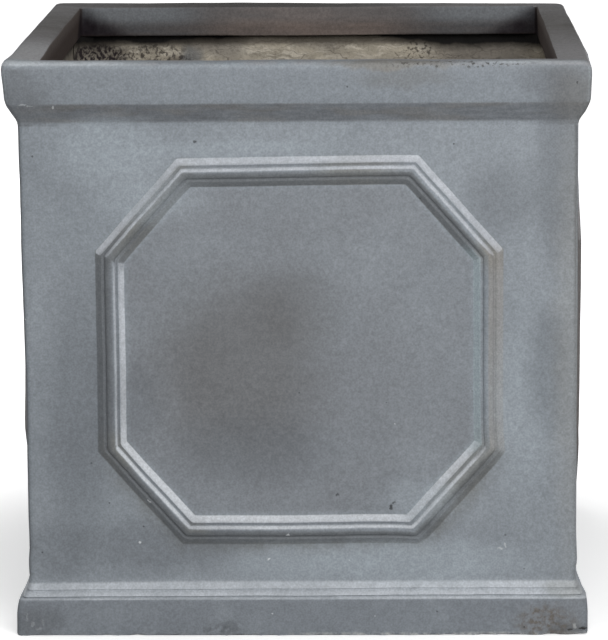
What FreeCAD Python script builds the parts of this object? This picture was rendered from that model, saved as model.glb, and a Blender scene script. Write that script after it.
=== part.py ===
import FreeCAD, Part
import math
import os

import Sketcher

# Square lead-look planter in hand-laid fibre clay.
# Millimetres. +Z is up, the origin is the middle of the foot, and the front faces -Y.
# Four moulded face panels carry an octagonal moulding and the plinth, four rim lengths cap
# them, and a coarse laminate, corner bonds and a bonded floor hold them together inside.

# Driving dimensions: name, value, meaning
SIZES = [
    ("planter_width", 400.0, "across the rim and across the plinth"),
    ("planter_height", 400.0, "ground to lip"),
    ("wall_setback", 8.6, "wall face behind the rim and plinth"),
    ("wall_skin", 5.0, "thickness of a moulded face panel"),
    ("backing_skin", 4.0, "thickness of the laminate behind a panel"),
    ("lip_width", 23.0, "flat top of the rim, outside to opening"),
    ("lip_thickness", 6.0, "rim above the wall's top"),
    ("lip_round", 4.5, "rounding of the rim's outer top edge"),
    ("mouth_round", 1.5, "rounding of the rim's inner top edge"),
    ("band_depth", 22.0, "return band below the lip"),
    ("band_thickness", 4.0, "thickness of the return band"),
    ("rim_depth", 43.0, "lip to the foot of the cavetto"),
    ("fascia_swell", 0.7, "how far the fascia leans in below its widest line"),
    ("fascia_widest_drop", 9.0, "lip to the fascia's widest line"),
    ("fascia_foot_drop", 26.0, "lip to the foot of the fascia"),
    ("cavetto_top_drop", 29.6, "lip to the top of the cavetto's slope"),
    ("cavetto_top_reach", 6.2, "how far that point stands out from the wall"),
    ("cavetto_foot_drop", 38.4, "lip to the foot of the cavetto's slope"),
    ("cavetto_foot_reach", 1.2, "how far that point stands out from the wall"),
    ("plinth_height", 38.4, "ground to the top of the plinth moulding"),
    ("plinth_slope_foot", 32.7, "height of the foot of the plinth's top slope"),
    ("plinth_slope_reach", 2.9, "how far the slope's foot stands out from the wall"),
    ("plinth_quirk_depth", 0.8, "depth of the two quirks"),
    ("plinth_quirk_width", 1.1, "height of the two quirks"),
    ("plinth_bead_foot", 28.4, "height of the foot of the plinth's bead"),
    ("plinth_bead_reach", 6.1, "how far the bead's foot stands out from the wall"),
    ("plinth_bead_rise", 0.7, "swell of the bead beyond its chord"),
    ("plinth_face_top", 24.8, "height of the top of the plinth's flat face"),
    ("plinth_ovolo_start", 6.6, "how far the top edge's rounding starts from the wall"),
    ("foot_round", 1.6, "rounding of the plinth's bottom edge"),
    ("foot_ledge_height", 15.0, "ground to the ledge that carries the floor panel"),
    ("foot_ledge_width", 8.0, "depth of that ledge"),
    ("octagon_width", 281.0, "across the moulding's outside"),
    ("octagon_bottom", 64.0, "ground to the moulding's outside"),
    ("octagon_top_drop", 63.5, "lip to the moulding's outside"),
    ("octagon_cut_across", 58.0, "corner cut, across"),
    ("octagon_cut_up", 65.5, "corner cut, up"),
    ("octagon_slope_width", 4.9, "each outer slope of the moulding"),
    ("octagon_slope_rise", 3.0, "height of a slope's top above the wall"),
    ("octagon_quirk_width", 1.7, "each quirk beside the bead"),
    ("octagon_quirk_rise", 1.9, "height of a quirk's floor above the wall"),
    ("octagon_bead_width", 7.3, "width of the bead"),
    ("octagon_bead_shoulder", 2.8, "height of the bead's edges above the wall"),
    ("octagon_bead_swell", 2.2, "height of the bead's crest above its edges"),
    ("octagon_root", 1.0, "how deep the moulding is cast into its panel"),
    ("floor_thickness", 12.0, "thickness of the floor panel"),
    ("drain_diameter", 25.0, "drain hole"),
    ("floor_bond_leg", 15.0, "leg of the fillet round the floor"),
    ("floor_bond_land", 1.0, "flat top of that fillet"),
    ("corner_bond_leg", 14.0, "leg of the fillet up an inside corner"),
    ("cut_overrun", 5.0, "how far a cut runs past what it cuts"),
]

# Shares
HALF_SHARE = 0.5
MITRE_START_SHARE = 0.5
CORNER_COVE_SHARE = 0.12

# Which way an arc of an outline bulges, seen along the outline
RIGHT = "right"
LEFT = "left"

# The four sides in order, turning anticlockwise seen from above
SIDES = ["front", "right", "back", "left"]
CORNERS = ["front_right", "back_right", "back_left", "front_left"]
QUARTER_TURN = 90.0

Z_AXIS = FreeCAD.Vector(0, 0, 1)

doc = FreeCAD.newDocument("square_planter")


def make_sheet():
    """Write the driving dimensions into the document's spreadsheet."""
    sheet = doc.addObject("Spreadsheet::Sheet", "Sizes")
    for row, (name, value, meaning) in enumerate(SIZES, start=1):
        sheet.set(f"A{row}", name)
        sheet.set(f"B{row}", str(value))
        sheet.setAlias(f"B{row}", name)
        sheet.set(f"C{row}", meaning)
    doc.recompute()
    return sheet


sheet = make_sheet()


def size(name):
    """The expression that reads one driving dimension."""
    return f"Sizes.{name}"


def times(share, length):
    """The expression for a share of a length."""
    return f"({share} * ({length}))"


def plus(*lengths):
    """The expression for a sum of lengths."""
    return "(" + " + ".join(lengths) + ")"


def minus(length, *others):
    """The expression for a length less others."""
    return f"({length} - " + " - ".join(others) + ")"


def arc_radius(chord, swell):
    """The expression for an arc's radius from its chord and its swell."""
    return f"(({chord}) ^ 2 / (8 * ({swell})) + ({swell}) / 2)"


def tangent_radius(reach, rise):
    """The expression for the radius of an arc that leaves a vertical face at a tangent and
    ends this far out and this far along."""
    return f"((({reach}) ^ 2 + ({rise}) ^ 2) / (2 * ({reach})))"


def number(expression):
    """What an expression is worth now."""
    value = sheet.evalExpression(expression)
    return float(getattr(value, "Value", value))


# Places that several pieces share, as expressions
RIM_HALF = times(HALF_SHARE, size("planter_width"))
WALL_HALF = minus(RIM_HALF, size("wall_setback"))
SKIN_HALF = minus(WALL_HALF, size("wall_skin"))
INSIDE_HALF = minus(SKIN_HALF, size("backing_skin"))
MOUTH_HALF = minus(RIM_HALF, size("lip_width"))
WALL_TOP = minus(size("planter_height"), size("lip_thickness"))
BAND_FOOT = minus(size("planter_height"), size("band_depth"))
FLOOR_TOP = plus(size("foot_ledge_height"), size("floor_thickness"))


def plane_of(body, role):
    """One of a body's own origin planes."""
    for feature in body.Origin.OriginFeatures:
        if feature.Role == role:
            return feature
    raise ValueError(role)


def new_body(name):
    """An empty body, labelled as its piece."""
    body = doc.addObject("PartDesign::Body", name)
    body.Label = name
    return body


def new_sketch(body, name, role, height="0"):
    """A sketch on one of the body's planes, lifted along the plane's normal."""
    sketch = body.newObject("Sketcher::SketchObject", name)
    sketch.AttachmentSupport = [(plane_of(body, role), "")]
    sketch.MapMode = "FlatFace"
    if height != "0":
        sketch.setExpression("AttachmentOffset.Base.z", height)
    return sketch


def arc_between(start, end, radius, side):
    """An arc from start to end that bulges to the right or left of the way there."""
    chord = end.sub(start)
    across = FreeCAD.Vector(chord.y, -chord.x, 0).normalize()
    if side == LEFT:
        across = across.negative()
    centre_offset = math.sqrt(max(radius ** 2 - (HALF_SHARE * chord.Length) ** 2, 0))
    middle = start.add(chord * HALF_SHARE).add(across * (radius - centre_offset))
    return Part.Arc(start, middle, end)


def tie_point(sketch, edge, end, corner, label):
    """Bind one end of an edge to its place, counted from the sketch's origin."""
    for kind, axis, place in (("DistanceX", -2, corner[0]), ("DistanceY", -1, corner[1])):
        if place == "0":
            sketch.addConstraint(Sketcher.Constraint("PointOnObject", edge, end, axis))
            continue
        index = sketch.addConstraint(
            Sketcher.Constraint(kind, -1, 1, edge, end, number(place))
        )
        name = f"{label}_{kind[-1].lower()}"
        sketch.renameConstraint(index, name)
        sketch.setExpression(f"Constraints.{name}", place)


def bind_radius(sketch, edge, radius, name):
    """Bind the radius of an arc or a circle."""
    index = sketch.addConstraint(Sketcher.Constraint("Radius", edge, number(radius)))
    sketch.renameConstraint(index, name)
    sketch.setExpression(f"Constraints.{name}", radius)


def draw(sketch, corners, label="p"):
    """Draw a closed outline. A corner is (x, y), or (x, y, radius, side) where the edge that
    leaves it is an arc, which bulges to that side of its way."""
    places = [FreeCAD.Vector(number(c[0]), number(c[1]), 0) for c in corners]
    ends = []
    for index, corner in enumerate(corners):
        start = places[index]
        end = places[(index + 1) % len(corners)]
        if len(corner) == 2:
            edge = sketch.addGeometry(Part.LineSegment(start, end), False)
            ends.append((edge, 1, 2))
            continue
        radius, side = corner[2:]
        arc = arc_between(start, end, number(radius), side)
        edge = sketch.addGeometry(arc, False)
        ends.append((edge, 1, 2) if side == RIGHT else (edge, 2, 1))
        bind_radius(sketch, edge, radius, f"{label}{index}_radius")
    for index, (edge, start_end, far_end) in enumerate(ends):
        after = ends[(index + 1) % len(ends)]
        sketch.addConstraint(
            Sketcher.Constraint("Coincident", edge, far_end, after[0], after[1])
        )
        tie_point(sketch, edge, start_end, corners[index], f"{label}{index}")


def rectangle(left, bottom, right, top):
    """The corners of a rectangle, anticlockwise."""
    return [(left, bottom), (right, bottom), (right, top), (left, top)]


def negative(length):
    """The expression for a length the other way."""
    return f"(-({length}))"


def square(half):
    """The corners of a square about the origin."""
    return rectangle(negative(half), negative(half), half, half)


def pad(body, name, sketch, length, symmetric=False):
    """Pad a sketch by a bound length."""
    feature = body.newObject("PartDesign::Pad", name)
    feature.Profile = sketch
    feature.SideType = "Symmetric" if symmetric else "One side"
    feature.setExpression("Length", length)
    sketch.Visibility = False
    return feature


def pocket_up(body, name, sketch):
    """Cut a sketch on the ground plane right up through the body."""
    feature = body.newObject("PartDesign::Pocket", name)
    feature.Profile = sketch
    feature.Type = "ThroughAll"
    feature.Reversed = True
    return feature


def sweep(body, name, section, path):
    """Run a section round a closed path with mitred corners."""
    feature = body.newObject("PartDesign::AdditivePipe", name)
    feature.Profile = section
    feature.Spine = (path, [])
    feature.Transition = "Right corner"
    return feature


def mitre_ends(body):
    """Cut both ends of a front length to 45 degrees, for its neighbours to meet."""
    start = times(MITRE_START_SHARE, RIM_HALF)
    end = plus(RIM_HALF, size("cut_overrun"))
    sketch = new_sketch(body, body.Name + "_mitres", "XY_Plane")
    draw(sketch, [(start, negative(start)), (end, negative(end)), (end, negative(start))], "r")
    left = [(negative(start), negative(start)), (negative(end), negative(start))]
    draw(sketch, left + [(negative(end), negative(end))], "l")
    pocket_up(body, body.Name + "_mitre_cut", sketch)


def out_from_wall(reach):
    """Section place of a point that stands out from the front wall."""
    return negative(plus(WALL_HALF, reach))


def wall_section():
    """Outline of a face panel with its plinth, seen from its right end (out is -Y)."""
    face = negative(WALL_HALF)
    plinth_face = negative(RIM_HALF)
    quirk = size("plinth_quirk_depth")
    quirk_width = size("plinth_quirk_width")
    slope_foot = size("plinth_slope_foot")
    bead_top = minus(slope_foot, quirk_width)
    bead_foot = size("plinth_bead_foot")
    ovolo_top = minus(bead_foot, quirk_width)
    slope_reach = size("plinth_slope_reach")
    bead_reach = size("plinth_bead_reach")
    ovolo_start = size("plinth_ovolo_start")
    bead_chord = (
        f"sqrt(({bead_top} - {bead_foot}) ^ 2 + ({bead_reach} - {slope_reach}) ^ 2)"
    )
    ovolo_radius = (
        f"sqrt(({ovolo_top} - {size('plinth_face_top')}) ^ 2"
        f" + ({size('wall_setback')} - {ovolo_start}) ^ 2)"
    )
    ledge = negative(minus(SKIN_HALF, size("foot_ledge_width")))
    foot_start = minus(RIM_HALF, size("foot_round"))
    return [
        (face, size("plinth_height")),
        (out_from_wall(slope_reach), slope_foot),
        (out_from_wall(minus(slope_reach, quirk)), minus(slope_foot, times(HALF_SHARE, quirk_width))),
        (
            out_from_wall(slope_reach),
            bead_top,
            arc_radius(bead_chord, size("plinth_bead_rise")),
            RIGHT,
        ),
        (out_from_wall(bead_reach), bead_foot),
        (out_from_wall(minus(bead_reach, quirk)), minus(bead_foot, times(HALF_SHARE, quirk_width))),
        (out_from_wall(ovolo_start), ovolo_top, ovolo_radius, RIGHT),
        (plinth_face, size("plinth_face_top")),
        (plinth_face, size("foot_round"), size("foot_round"), RIGHT),
        (negative(foot_start), "0"),
        (ledge, "0"),
        (ledge, size("foot_ledge_height")),
        (negative(SKIN_HALF), size("foot_ledge_height")),
        (negative(SKIN_HALF), WALL_TOP),
        (face, WALL_TOP),
    ]


def octagon_path():
    """The moulding's outside line, starting at the middle of its bottom run."""
    right = times(HALF_SHARE, size("octagon_width"))
    cut_x = minus(right, size("octagon_cut_across"))
    bottom = size("octagon_bottom")
    top = minus(size("planter_height"), size("octagon_top_drop"))
    low = plus(bottom, size("octagon_cut_up"))
    high = minus(top, size("octagon_cut_up"))
    return [
        ("0", bottom),
        (cut_x, bottom),
        (right, low),
        (right, high),
        (cut_x, top),
        (negative(cut_x), top),
        (negative(right), high),
        (negative(right), low),
        (negative(cut_x), bottom),
    ]


def octagon_section():
    """Section of the moulding's bottom run: slope, quirk, bead, quirk, slope."""
    slope_width = size("octagon_slope_width")
    quirk_width = size("octagon_quirk_width")
    bead_width = size("octagon_bead_width")
    start = size("octagon_bottom")
    slope_end = plus(start, slope_width)
    quirk_end = plus(slope_end, quirk_width)
    bead_end = plus(quirk_end, bead_width)
    far_quirk_end = plus(bead_end, quirk_width)
    end = plus(far_quirk_end, slope_width)
    root = out_from_wall(negative(size("octagon_root")))
    slope_top = out_from_wall(size("octagon_slope_rise"))
    quirk_floor = out_from_wall(size("octagon_quirk_rise"))
    shoulder = out_from_wall(size("octagon_bead_shoulder"))
    return [
        (root, start),
        (root, end),
        (negative(WALL_HALF), end),
        (slope_top, far_quirk_end),
        (quirk_floor, plus(bead_end, times(HALF_SHARE, quirk_width))),
        (shoulder, bead_end, arc_radius(bead_width, size("octagon_bead_swell")), RIGHT),
        (shoulder, quirk_end),
        (quirk_floor, plus(slope_end, times(HALF_SHARE, quirk_width))),
        (slope_top, slope_end),
        (negative(WALL_HALF), start),
    ]


def add_octagon(body):
    """Run the moulding's section round the octagon, mitred at its eight corners."""
    path = new_sketch(body, body.Name + "_octagon_path", "XZ_Plane", WALL_HALF)
    draw(path, octagon_path())
    section = new_sketch(body, body.Name + "_octagon_section", "YZ_Plane")
    draw(section, octagon_section())
    sweep(body, body.Name + "_octagon", section, path)


def rim_section():
    """Outline of a rim length: fascia, cavetto, lip and return band round the wall's top."""
    top = size("planter_height")
    face = negative(WALL_HALF)
    outside = negative(RIM_HALF)
    mouth = negative(MOUTH_HALF)
    lip_round = size("lip_round")
    mouth_round = size("mouth_round")
    band_back = negative(plus(MOUTH_HALF, size("band_thickness")))
    fascia_foot = minus(size("wall_setback"), size("fascia_swell"))
    foot_rise = minus(size("rim_depth"), size("cavetto_foot_drop"))
    top_rise = minus(size("cavetto_top_drop"), size("fascia_foot_drop"))
    top_reach = minus(fascia_foot, size("cavetto_top_reach"))
    foot_radius = tangent_radius(size("cavetto_foot_reach"), foot_rise)
    top_radius = tangent_radius(top_reach, top_rise)
    return [
        (face, WALL_TOP),
        (face, minus(top, size("rim_depth")), foot_radius, RIGHT),
        (out_from_wall(size("cavetto_foot_reach")), minus(top, size("cavetto_foot_drop"))),
        (
            out_from_wall(size("cavetto_top_reach")),
            minus(top, size("cavetto_top_drop")),
            top_radius,
            LEFT,
        ),
        (out_from_wall(fascia_foot), minus(top, size("fascia_foot_drop"))),
        (outside, minus(top, size("fascia_widest_drop"))),
        (outside, minus(top, lip_round), lip_round, LEFT),
        (plus(outside, lip_round), top),
        (minus(mouth, mouth_round), top, mouth_round, LEFT),
        (mouth, minus(top, mouth_round)),
        (mouth, BAND_FOOT),
        (band_back, BAND_FOOT),
        (band_back, WALL_TOP),
    ]


def turned(body, quarter):
    """Turn a piece that was drawn at the front to its own side."""
    body.Placement = FreeCAD.Placement(
        FreeCAD.Vector(0, 0, 0), FreeCAD.Rotation(Z_AXIS, QUARTER_TURN * quarter)
    )
    return body


def make_wall(side, quarter):
    """A moulded face panel with its plinth and octagon."""
    body = new_body(f"{side}_wall")
    section = new_sketch(body, body.Name + "_section", "YZ_Plane")
    draw(section, wall_section())
    pad(body, body.Name + "_length", section, size("planter_width"), symmetric=True)
    mitre_ends(body)
    add_octagon(body)
    return turned(body, quarter)


def make_rim(side, quarter):
    """A rim length, seated over the top of its wall and laminate."""
    body = new_body(f"{side}_rim")
    section = new_sketch(body, body.Name + "_section", "YZ_Plane")
    draw(section, rim_section())
    pad(body, body.Name + "_length", section, size("planter_width"), symmetric=True)
    mitre_ends(body)
    return turned(body, quarter)


def make_backing(side, quarter):
    """The laminate behind a face panel, from the floor panel to the rim, mitred."""
    body = new_body(f"{side}_backing")
    plan = new_sketch(body, body.Name + "_plan", "XY_Plane", FLOOR_TOP)
    outer = SKIN_HALF
    inner = INSIDE_HALF
    draw(
        plan,
        [
            (negative(outer), negative(outer)),
            (outer, negative(outer)),
            (inner, negative(inner)),
            (negative(inner), negative(inner)),
        ],
    )
    pad(body, body.Name + "_height", plan, minus(WALL_TOP, FLOOR_TOP))
    return turned(body, quarter)


def make_floor():
    """The floor panel on the walls' ledge, with its drain hole."""
    body = new_body("floor_panel")
    plan = new_sketch(body, "floor_panel_plan", "XY_Plane", size("foot_ledge_height"))
    draw(plan, square(SKIN_HALF))
    pad(body, "floor_panel_thickness", plan, size("floor_thickness"))
    hole = new_sketch(body, "floor_panel_hole", "XY_Plane")
    radius = times(HALF_SHARE, size("drain_diameter"))
    circle = Part.Circle(FreeCAD.Vector(0, 0, 0), Z_AXIS, number(radius))
    edge = hole.addGeometry(circle, False)
    hole.addConstraint(Sketcher.Constraint("Coincident", edge, 3, -1, 1))
    bind_radius(hole, edge, radius, "drain_radius")
    pocket_up(body, "floor_panel_drain", hole)
    return body


def make_floor_bond():
    """The sloped fillet round the floor's edge, mitred in its corners."""
    body = new_body("floor_bond")
    leg = size("floor_bond_leg")
    top = plus(FLOOR_TOP, leg)
    outer = negative(INSIDE_HALF)
    path = new_sketch(body, "floor_bond_path", "XY_Plane", FLOOR_TOP)
    draw(path, [("0", outer)] + square(INSIDE_HALF)[1:] + [(outer, outer)])
    section = new_sketch(body, "floor_bond_section", "YZ_Plane")
    draw(
        section,
        [
            (outer, FLOOR_TOP),
            (plus(outer, leg), FLOOR_TOP),
            (plus(outer, size("floor_bond_land")), top),
            (outer, top),
        ],
    )
    sweep(body, "floor_bond_run", section, path)
    return body


def make_corner_bond(corner, quarter, floor_bond):
    """The coved fillet up an inside corner, from the floor's fillet to the return band."""
    blank = new_body(f"{corner}_corner_blank")
    inside = INSIDE_HALF
    near = minus(INSIDE_HALF, size("corner_bond_leg"))
    chord = times(math.sqrt(2), size("corner_bond_leg"))
    plan = new_sketch(blank, blank.Name + "_plan", "XY_Plane", FLOOR_TOP)
    draw(
        plan,
        [
            (near, negative(inside)),
            (inside, negative(inside)),
            (
                inside,
                negative(near),
                arc_radius(chord, times(CORNER_COVE_SHARE, chord)),
                LEFT,
            ),
        ],
    )
    pad(blank, blank.Name + "_height", plan, minus(BAND_FOOT, FLOOR_TOP))
    turned(blank, quarter)
    bond = doc.addObject("Part::Cut", f"{corner}_corner_bond")
    bond.Label = f"{corner}_corner_bond"
    bond.Base = blank
    bond.Tool = floor_bond
    return bond


def make_pieces():
    """Every piece of the planter."""
    pieces = []
    for quarter, side in enumerate(SIDES):
        pieces.append(make_wall(side, quarter))
        pieces.append(make_rim(side, quarter))
        pieces.append(make_backing(side, quarter))
    pieces.append(make_floor())
    floor_bond = make_floor_bond()
    pieces.append(floor_bond)
    for quarter, corner in enumerate(CORNERS):
        pieces.append(make_corner_bond(corner, quarter, floor_bond))
    return pieces


def check(pieces):
    """Stop if any feature failed or any piece is not one good solid."""
    for item in doc.Objects:
        if "Invalid" in item.State or "Error" in item.State:
            raise RuntimeError(f"{item.Label} failed: {item.State}")
    for piece in pieces:
        if piece.Shape.isNull() or not piece.Shape.isValid():
            raise RuntimeError(f"{piece.Label} has no valid shape")
        if len(piece.Shape.Solids) != 1:
            raise RuntimeError(f"{piece.Label} is not one solid")


def write(pieces):
    """Write one STEP file for each piece."""
    os.makedirs("parts", exist_ok=True)
    for piece in pieces:
        piece.Shape.exportStep(f"parts/{piece.Label}.step")
        box = piece.Shape.BoundBox
        print(f"{piece.Label}: {piece.Shape.Volume:.0f} mm3, {box}")


pieces = make_pieces()
doc.recompute()
check(pieces)
write(pieces)
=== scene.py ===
import math

import bmesh
import bpy
import numpy
from mathutils import Matrix, Vector


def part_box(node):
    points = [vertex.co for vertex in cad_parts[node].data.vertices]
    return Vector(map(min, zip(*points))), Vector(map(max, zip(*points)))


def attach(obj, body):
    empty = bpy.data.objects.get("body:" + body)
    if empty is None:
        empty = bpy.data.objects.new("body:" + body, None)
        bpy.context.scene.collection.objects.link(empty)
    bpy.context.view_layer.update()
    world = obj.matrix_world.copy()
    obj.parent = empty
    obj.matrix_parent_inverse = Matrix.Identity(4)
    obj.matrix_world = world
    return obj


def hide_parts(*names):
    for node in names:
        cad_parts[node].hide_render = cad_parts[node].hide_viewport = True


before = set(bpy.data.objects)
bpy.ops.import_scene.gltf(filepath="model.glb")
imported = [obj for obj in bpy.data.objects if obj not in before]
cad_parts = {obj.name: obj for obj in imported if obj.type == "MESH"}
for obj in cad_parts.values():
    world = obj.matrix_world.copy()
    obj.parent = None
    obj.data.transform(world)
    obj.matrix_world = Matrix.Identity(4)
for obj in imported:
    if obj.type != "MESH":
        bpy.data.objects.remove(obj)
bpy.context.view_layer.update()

# Square planter in hand-laid fibre clay with a lead-look finish.
# Metres. The front faces -Y, and the origin is the middle of the foot.

MM = 0.001

# The four sides in order, turning anticlockwise seen from above
SIDES = ("front", "right", "back", "left")
CORNERS = ("front_right", "back_right", "back_left", "front_left")

# Sizes read from the frame
RIM_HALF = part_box("front_rim")[1][0]
LIP_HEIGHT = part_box("front_rim")[1][2]
RIM_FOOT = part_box("front_rim")[0][2]
MOUTH_HALF = -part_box("front_rim")[1][1]
WALL_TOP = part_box("front_wall")[1][2]
LEDGE_HALF = -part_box("front_wall")[1][1]
SKIN_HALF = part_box("floor_panel")[1][0]
INSIDE_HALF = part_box("floor_bond")[1][0]
LEDGE_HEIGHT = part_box("floor_panel")[0][2]
FLOOR_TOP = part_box("floor_panel")[1][2]
BAND_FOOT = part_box("front_right_corner_bond")[1][2]
CORNER_BOND_LEG = INSIDE_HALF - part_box("front_right_corner_bond")[0][0]

# Sizes of the mouldings, as in the casting
WALL_SETBACK = 8.6 * MM
BAND_THICKNESS = 4.0 * MM
REBATE = 1.0 * MM
WALL_HALF = RIM_HALF - WALL_SETBACK
CORNER_ROUND = 4.0 * MM
CORNER_SEGMENTS = 5
GRID = 4.0 * MM

# Points nearer than this are one point
TOUCHING = 0.01 * MM


def deselect_all():
    """Leave nothing selected."""
    bpy.ops.object.select_all(action="DESELECT")


def only(piece):
    """Select one object and make it active."""
    deselect_all()
    piece.select_set(True)
    bpy.context.view_layer.objects.active = piece


def edit(piece):
    """Go into edit mode on one object with nothing selected."""
    only(piece)
    bpy.ops.object.mode_set(mode="EDIT")
    bpy.ops.mesh.select_mode(type="VERT")
    bpy.ops.mesh.select_all(action="DESELECT")


def leave_edit():
    """Go back to object mode."""
    bpy.ops.object.mode_set(mode="OBJECT")


def select_everything():
    """In edit mode, select the whole mesh."""
    bpy.ops.mesh.select_all(action="SELECT")


def pick(kind, test):
    """In edit mode, select only the faces, edges or verts that pass a test."""
    bpy.ops.mesh.select_mode(type=kind)
    bpy.ops.mesh.select_all(action="DESELECT")
    mesh = bmesh.from_edit_mesh(bpy.context.edit_object.data)
    elements = {"FACE": mesh.faces, "EDGE": mesh.edges, "VERT": mesh.verts}[kind]
    for element in elements:
        if test(element):
            element.select_set(True)
    bmesh.update_edit_mesh(bpy.context.edit_object.data)


def new_piece(name):
    """Name the active object and its mesh."""
    piece = bpy.context.object
    piece.name = name
    piece.data.name = name
    return piece


def flat_square(name, size, place):
    """A square face to model from, with edit mode on."""
    deselect_all()
    bpy.ops.mesh.primitive_plane_add(size=size, location=place)
    piece = new_piece(name)
    bpy.ops.object.transform_apply(location=True)
    edit(piece)
    return piece


def square_ring(name, section):
    """A square tube with rounded corners, whose closed section is a list of (half width,
    height), modelled by extruding a rounded square from one section point to the next."""
    half, height = section[0]
    piece = flat_square(name, 2 * half, (0, 0, height))
    select_everything()
    bpy.ops.mesh.bevel(offset=CORNER_ROUND, segments=CORNER_SEGMENTS, affect="VERTICES")
    select_everything()
    bpy.ops.mesh.delete(type="ONLY_FACE")
    select_everything()
    for next_half, next_height in section[1:] + section[:1]:
        bpy.ops.mesh.extrude_edges_move(
            TRANSFORM_OT_translate={"value": (0, 0, next_height - height)}
        )
        growth = next_half / half
        bpy.ops.transform.resize(value=(growth, growth, 1), center_override=(0, 0, 0))
        half, height = next_half, next_height
    select_everything()
    bpy.ops.mesh.remove_doubles(threshold=TOUCHING)
    bpy.ops.mesh.normals_make_consistent(inside=False)
    leave_edit()
    return piece


def keep_front(piece):
    """Mitre the ring at its front corners, keep the front length and close its ends."""
    edit(piece)
    for side in (1, -1):
        select_everything()
        bpy.ops.mesh.bisect(
            plane_co=(0, 0, 0), plane_no=(side, 1, 0), use_fill=True, clear_outer=True
        )
    leave_edit()


def slice_across(axis, position):
    """In edit mode, cut what is selected with one plane across an axis."""
    place = [0, 0, 0]
    normal = [0, 0, 0]
    place[axis] = position
    normal[axis] = 1
    bpy.ops.mesh.bisect(plane_co=place, plane_no=normal)


def grid_places(low, high, spacing):
    """Evenly spaced places strictly between two limits."""
    count = max(1, round((high - low) / spacing))
    return [low + (high - low) * step / count for step in range(1, count)]


def cut_grid(piece, test, across, up, deep=()):
    """Cut the faces that pass a test into a fine grid, so that they can be uneven."""
    edit(piece)
    pick("FACE", test)
    bpy.ops.mesh.hide(unselected=True)
    for axis, places in ((0, across), (1, deep), (2, up)):
        for position in places:
            select_everything()
            slice_across(axis, position)
    bpy.ops.mesh.reveal(select=False)
    leave_edit()


def faces_out(face):
    """Whether a face of the front length is on its visible outside."""
    return face.calc_center_median().y < -(WALL_HALF - 1.5 * REBATE)


# The moulding's section, distances across and heights above the wall
SLOPE_WIDTH = 4.9 * MM
SLOPE_RISE = 3.2 * MM
QUIRK_WIDTH = 1.7 * MM
QUIRK_DEPTH = 0.6 * MM
BEAD_WIDTH = 7.3 * MM
BEAD_SHOULDER = 2.8 * MM
BEAD_SWELL = 2.4 * MM
BEAD_STEPS = 10

# The octagon on each wall
OCTAGON_HALF = 140.5 * MM
OCTAGON_BOTTOM = 64.0 * MM
OCTAGON_TOP = LIP_HEIGHT - 63.5 * MM
OCTAGON_CUT_ACROSS = 58.0 * MM
OCTAGON_CUT_UP = 65.5 * MM
OCTAGON_ROUND = 1.5 * MM
OCTAGON_ROUND_STEPS = 3

# What counts as a large part of the wall's face: how squarely it faces front, and its area
FACING_FRONT = 0.9
SMALLEST_FIELD = 0.02

# How far an edge has to run off the square and off the octagon's cuts to be a crease
CREASE_SHARE = 0.2


def octagon_half_section():
    """Half the moulding, from the wall to the bead's crest, as (across, height)."""
    quirk_middle = SLOPE_WIDTH + QUIRK_WIDTH / 2
    bead_start = SLOPE_WIDTH + QUIRK_WIDTH
    points = [
        (0.5 * MM, 0.12 * MM),
        (SLOPE_WIDTH - 1.1 * MM, SLOPE_RISE - 0.4 * MM),
        (SLOPE_WIDTH - 0.45 * MM, SLOPE_RISE - 0.08 * MM),
        (SLOPE_WIDTH + 0.05 * MM, SLOPE_RISE - 0.12 * MM),
        (quirk_middle - 0.15 * MM, SLOPE_RISE - QUIRK_DEPTH),
        (quirk_middle + 0.25 * MM, SLOPE_RISE - QUIRK_DEPTH),
    ]
    for step in range(BEAD_STEPS // 2 + 1):
        turn = math.pi * step / BEAD_STEPS
        across = bead_start + BEAD_WIDTH / 2 * (1 - math.cos(turn))
        points.append((across, BEAD_SHOULDER + BEAD_SWELL * math.sin(turn)))
    return points


def octagon_section():
    """The whole moulding, from the wall round the bead to the panel."""
    half = octagon_half_section()
    width = 2 * half[-1][0]
    mirrored = [(width - across, height) for across, height in reversed(half[:-1])]
    return half + mirrored + [(width, 0.0)]


def on_wall_face(face):
    """Whether a face is a large part of the front wall's face."""
    flat = face.normal.y < -FACING_FRONT and face.calc_center_median().y < -(WALL_HALF - REBATE / 2)
    return flat and face.calc_area() > SMALLEST_FIELD


def in_octagon(face):
    """Whether a face is the field that the moulding goes round."""
    centre = face.calc_center_median()
    inside = abs(centre.x) < OCTAGON_HALF / 4 and OCTAGON_BOTTOM < centre.z < OCTAGON_TOP
    return inside and on_wall_face(face)


def is_crease(edge):
    """Whether an edge runs up the moulding at one of the octagon's corners."""
    start, end = (vert.co for vert in edge.verts)
    across, up = abs(end.x - start.x), abs(end.z - start.z)
    middle = (start + end) / 2
    near = abs(middle.x) <= OCTAGON_HALF and OCTAGON_BOTTOM <= middle.z <= OCTAGON_TOP
    raised = middle.y < -WALL_HALF - TOUCHING
    off_diagonal = abs(across * OCTAGON_CUT_UP - up * OCTAGON_CUT_ACROSS)
    turned = off_diagonal > CREASE_SHARE * OCTAGON_CUT_UP * max(across, up)
    return near and raised and turned and min(across, up) > CREASE_SHARE * max(across, up)


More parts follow.
